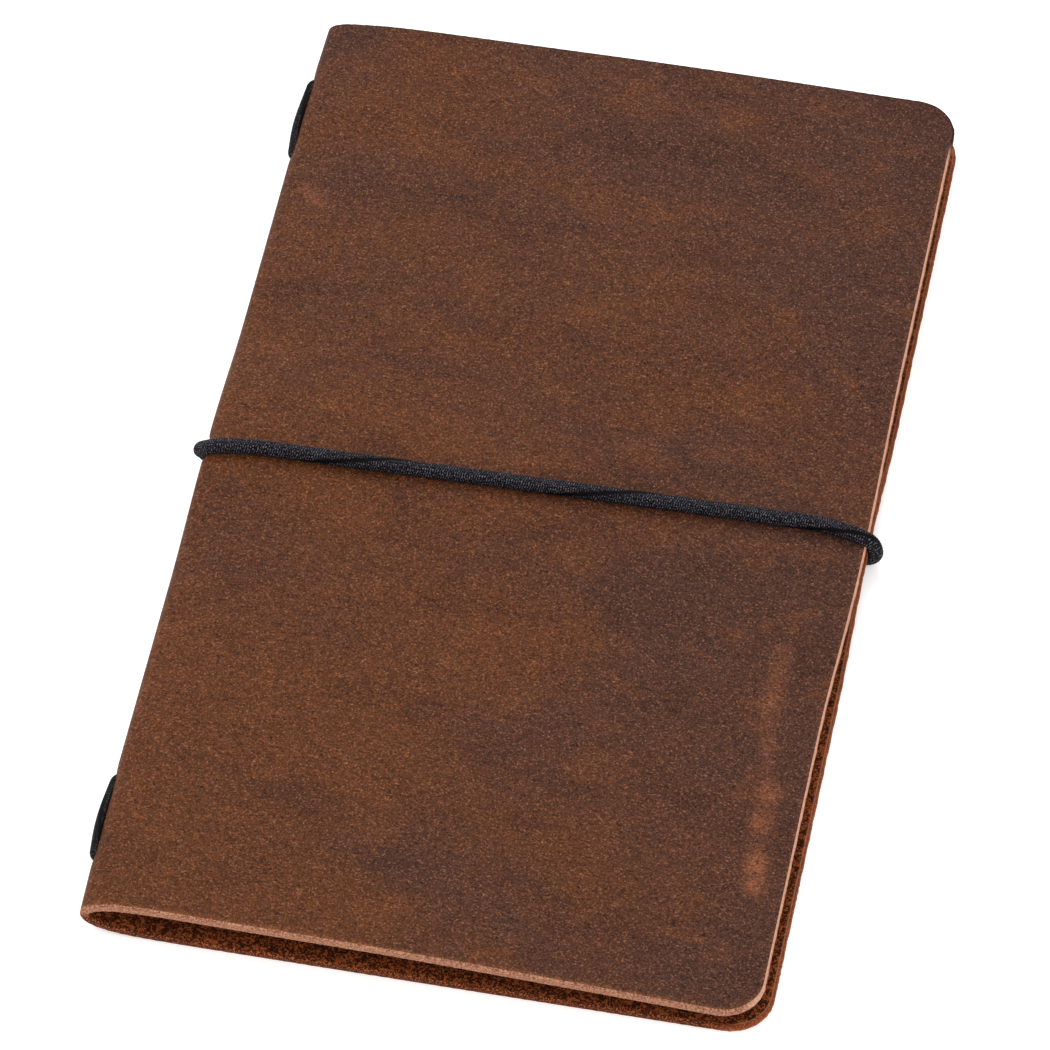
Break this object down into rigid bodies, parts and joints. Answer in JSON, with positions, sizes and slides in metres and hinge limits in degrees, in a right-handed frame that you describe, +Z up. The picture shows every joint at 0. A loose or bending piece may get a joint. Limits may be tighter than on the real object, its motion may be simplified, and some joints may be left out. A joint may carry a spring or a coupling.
{
  "type": "leather notebook cover",
  "caption": "Refillable notebook cover: one folded sheet of oiled leather with a lacing elastic at the spine and a round closure elastic around the middle.",
  "frame": {"origin": "centre of the footprint of the closed cover, on the surface it lies on", "axes": "+X from the spine to the fore-edge, +Y along the spine to the head, +Z up through the front cover"},
  "size_m": [0.1306, 0.22, 0.0132],
  "materials": {
    "leather": "oiled pull-up leather, satin, with a raw suede flesh side",
    "closure_elastic": "braided polyester over rubber",
    "lacing_elastic": "braided polyester over rubber"
  },
  "bodies": {
    "back_cover": {"back_cover": "leather"},
    "spine": {"spine": "leather", "closure_knot": "closure_elastic", "binding_elastic": "lacing_elastic", "binding_knot": "lacing_elastic"},
    "front_cover": {"front_cover": "leather"},
    "closure_band": {"closure_band": "closure_elastic"}
  },
  "joints": [
    {"name": "cover_open", "type": "hinge", "parent": "back_cover", "child": "spine", "pos_m": [-0.06087, 0, 0.00163], "axis": [0, -1, 0], "range_deg": [0, 90]},
    {"name": "front_fold", "type": "hinge", "parent": "spine", "child": "front_cover", "pos_m": [-0.06087, 0, 0.00737], "axis": [0, -1, 0], "range_deg": [0, 90]},
    {"name": "band_release", "type": "hinge", "parent": "back_cover", "child": "closure_band", "pos_m": [0, 0, 0.00135], "axis": [-1, 0, 0], "range_deg": [0, 90], "deforming": ["closure_band"]}
  ],
  "couplings": [
    {"joint": "front_fold", "follows": "cover_open", "ratio": 1},
    {"joint": "band_release", "follows": "cover_open", "ratio": 1}
  ]
}
